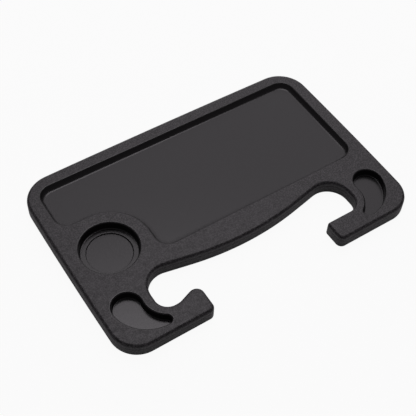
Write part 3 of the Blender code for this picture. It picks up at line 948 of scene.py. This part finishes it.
@dataclass
class LowerShell:
    """Lower moulding: the wall under the seam and the underside with its screw and pad recesses."""

    plan: TrayPlan
    heights: TrayHeights
    head_sink: float = 0.5 * MM
    screw: Screw = field(default_factory=Screw)
    pad: Pad = field(default_factory=Pad)
    mouth_edge: float = 0.3 * MM
    facet_step: float = 10.0
    pad_side_inset: float = 32 * MM
    pad_setbacks: tuple[float, float] = (20 * MM, 136 * MM)
    pad_back_inset: float = 31.8 * MM
    screw_corner_inset: float = 17.5 * MM
    screw_edge_inset: float = 8.6 * MM
    screw_back_spacing: float = 130 * MM
    screw_side_setback: float = 190 * MM
    screw_bulge_spacing: float = 110 * MM
    screw_hook_inset: float = 19.8 * MM
    screw_hook_setback: float = 17 * MM
    screw_tip_inset: float = 13.5 * MM

    @property
    def seat(self) -> float:
        """Height of the seats in the counterbores."""
        return self.heights.base + self.head_sink + self.screw.head_height + self.heights.gap

    def screw_places(self) -> list[Vector]:
        """Plan positions of the screws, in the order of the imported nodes."""
        edge = self.plan.half_width
        back = self.plan.depth / 2
        front = self.plan.front_y
        right = (
            (edge - self.screw_corner_inset, back - self.screw_corner_inset),
            (self.screw_back_spacing / 2, back - self.screw_edge_inset),
            (edge - self.screw_edge_inset, front + self.screw_side_setback),
            (self.screw_bulge_spacing / 2,
             front + (self.plan.bulge_setback + self.plan.well_setback) / 2),
            (edge - self.screw_hook_inset, front + self.screw_hook_setback),
            (self.plan.tip_x + self.screw_tip_inset, front + self.plan.finger_width / 2),
        )
        return [Vector((side.value * x, y)) for x, y in right for side in Side]

    def pad_places(self) -> list[Vector]:
        """Plan positions of the pads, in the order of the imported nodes."""
        x = self.plan.half_width - self.pad_side_inset
        rows = [self.plan.front_y + setback for setback in self.pad_setbacks]
        rows.append(self.plan.depth / 2 - self.pad_back_inset)
        return [Vector((side.value * x, y)) for y in rows for side in Side]

    def wall_levels(self) -> list[Level]:
        """Levels from the lap tongue down the outer wall to the underside."""
        h = self.heights
        rim = h.seam - h.gap
        tongue = h.lap_lip + h.gap
        levels = [Level(h.wall, rim + h.lap_height), Level(tongue, rim + h.lap_height),
                  Level(tongue, rim)]
        levels += bend(Level(h.seam_edge, rim - h.seam_edge), h.seam_edge, 90, 180, steps=4)
        levels += [Level(0.0, rim - h.seam_edge - h.hold), Level(0.0, h.base + h.foot + h.hold)]
        levels += bend(Level(h.foot, h.base + h.foot), h.foot, 180, 270)
        levels.append(Level(h.foot + h.hold, h.base))
        return levels

    def add_pocket(self, skin: Skin, place: Vector, radius: float, ceiling: float) -> Ring:
        """Sink a round pocket in the underside.

        Args:
            skin: The shell's skin.
            place: Plan position.
            radius: Radius of the pocket.
            ceiling: Height of its flat end.

        Returns:
            The ring at its mouth, which the underside's plate meets.
        """
        h = self.heights
        edge = self.mouth_edge
        levels = [Level(-edge - h.hold / 2, h.base)]
        levels += bend(Level(-edge, h.base + edge), edge, 270, 360, steps=4)
        levels += [Level(0.0, ceiling - h.hold / 2), Level(0.0, ceiling), Level(edge, ceiling)]
        mouth, end = skin.loft(circle(place, radius, self.facet_step), levels, Region.GRAINED)
        skin.plate([end], Region.GRAINED)
        return mouth

    def build(self, grained: bpy.types.Material) -> bpy.types.Object:
        """Build the shell.

        Args:
            grained: Finish of the wall and underside.

        Returns:
            The shell.
        """
        h = self.heights
        skin = Skin("lower_shell")
        rims = [skin.loft(self.plan.tray(), self.wall_levels(), Region.GRAINED)[1]]
        for place in self.screw_places():
            rims.append(self.add_pocket(skin, place, self.screw.head_radius + h.gap, self.seat))
        for place in self.pad_places():
            rims.append(self.add_pocket(skin, place, self.pad.radius + h.gap,
                                        self.pad.thickness + h.gap))
        skin.plate(rims, Region.GRAINED)
        return skin.finish((grained,), up=False)

    def build_screws(self, steel: bpy.types.Material) -> list[bpy.types.Object]:
        """Build the screw of each counterbore."""
        seat = self.seat - self.heights.gap
        return [self.screw.build(f"pan_screw_{number:02d}", place, seat, steel)
                for number, place in enumerate(self.screw_places(), 1)]

    def build_pads(self, rubber: bpy.types.Material) -> list[bpy.types.Object]:
        """Build the pad of each recess."""
        return [self.pad.build(f"rubber_pad_{number}", place, rubber)
                for number, place in enumerate(self.pad_places(), 1)]


def direction(azimuth: float, elevation: float) -> Vector:
    """Unit vector at an azimuth, in degrees from -Y towards +X, and an elevation in degrees."""
    around, above = math.radians(azimuth), math.radians(elevation)
    return Vector((math.sin(around) * math.cos(above), -math.cos(around) * math.cos(above),
                   math.sin(above)))


@dataclass(frozen=True)
class Softbox:
    """A rectangular area lamp that points at the tray."""

    name: str
    elevation: float
    size: tuple[float, float]
    radiance: float
    azimuth: float = 145.0
    distance: float = 2.2
    colour: str = "#fff9ff"

    def build(self, target: Vector) -> None:
        """Hang the lamp.

        Args:
            target: The point that it faces.
        """
        lamp = bpy.data.lights.new(self.name, "AREA")
        lamp.shape = "RECTANGLE"
        lamp.size, lamp.size_y = self.size
        lamp.energy = self.radiance * math.pi * lamp.size * lamp.size_y
        lamp.color = srgb(self.colour)[:3]
        item = bpy.data.objects.new(self.name, lamp)
        bpy.context.scene.collection.objects.link(item)
        item.location = target + direction(self.azimuth, self.elevation) * self.distance
        item.rotation_euler = (target - item.location).to_track_quat("-Z", "Y").to_euler()


@dataclass
class Studio:
    """Floor, lamps and camera."""

    target: Vector = field(default_factory=lambda: Vector((-21.7 * MM, -13.4 * MM, 20 * MM)))
    azimuth: float = -35.08
    elevation: float = 52.72
    distance: float = 1.0709
    roll: float = 2.86
    lens: float = 74.9
    sensor_width: float = 36.0
    view_distance: float = 200.0
    floor_radius: float = 60.0
    floor_step: float = 4.0
    world_colour: str = "#5a575a"
    softboxes: tuple[Softbox, ...] = (
        Softbox("back_softbox", elevation=46.0, size=(2.6, 1.18), radiance=0.84),
        Softbox("low_back_softbox", elevation=17.0, size=(2.6, 0.95), radiance=0.7),
        Softbox("overhead_softbox", elevation=69.5, size=(1.2, 0.6), radiance=3.0),
    )

    def build_floor(self, paper: bpy.types.Material) -> None:
        """Lay the background paper."""
        skin = Skin("paper_floor")
        disc = circle(Vector((0.0, 0.0)), self.floor_radius, self.floor_step)
        skin.plate([skin.ring(disc, Level(0.0, 0.0))], Region.GRAINED)
        skin.finish((paper,), up=True)

    def build_camera(self) -> None:
        """Set the camera at the photograph's place, with its slight roll."""
        camera = bpy.data.cameras.new("camera")
        camera.sensor_width = self.sensor_width
        camera.lens = self.lens
        camera.clip_end = self.view_distance
        item = bpy.data.objects.new("camera", camera)
        bpy.context.scene.collection.objects.link(item)
        item.location = self.target + direction(self.azimuth, self.elevation) * self.distance
        aim = (self.target - item.location).to_track_quat("-Z", "Y").to_matrix()
        item.rotation_euler = (aim @ Matrix.Rotation(math.radians(self.roll), 3, "Z")).to_euler()
        bpy.context.scene.camera = item

    def build_world(self) -> None:
        """Fill the room with a low even light."""
        world = bpy.data.worlds.new("room")
        world.use_nodes = True
        world.node_tree.nodes["Background"].inputs["Color"].default_value = srgb(self.world_colour)
        bpy.context.scene.world = world

    def build(self, paper: bpy.types.Material) -> None:
        """Set up the whole studio."""
        self.build_floor(paper)
        self.build_camera()
        self.build_world()
        for softbox in self.softboxes:
            softbox.build(self.target)
        bpy.context.scene.view_settings.view_transform = "Standard"
        log.info("studio: %d lamps", len(self.softboxes))


def main() -> None:
    """Build and dress every piece of the tray, then the studio."""
    logging.basicConfig(level=logging.INFO, format="%(message)s")
    plan = TrayPlan()
    heights = TrayHeights()
    grained = GrainedAbs().build()
    smooth = SmoothAbs().build()
    steel = BlackOxideSteel().build()
    rubber = MouldedRubber().build()

    settle(UpperShell(plan, heights).build(grained, smooth), "top_shell")
    lower = LowerShell(plan, heights)
    settle(lower.build(grained), "bottom_shell")
    for number, screw in enumerate(lower.build_screws(steel), 1):
        settle(screw, f"screw_{number:02d}")
    for number, pad in enumerate(lower.build_pads(rubber), 1):
        settle(pad, f"pad_{number}")

    Studio().build(WhitePaper().build())


if __name__ == "__main__":
    main()
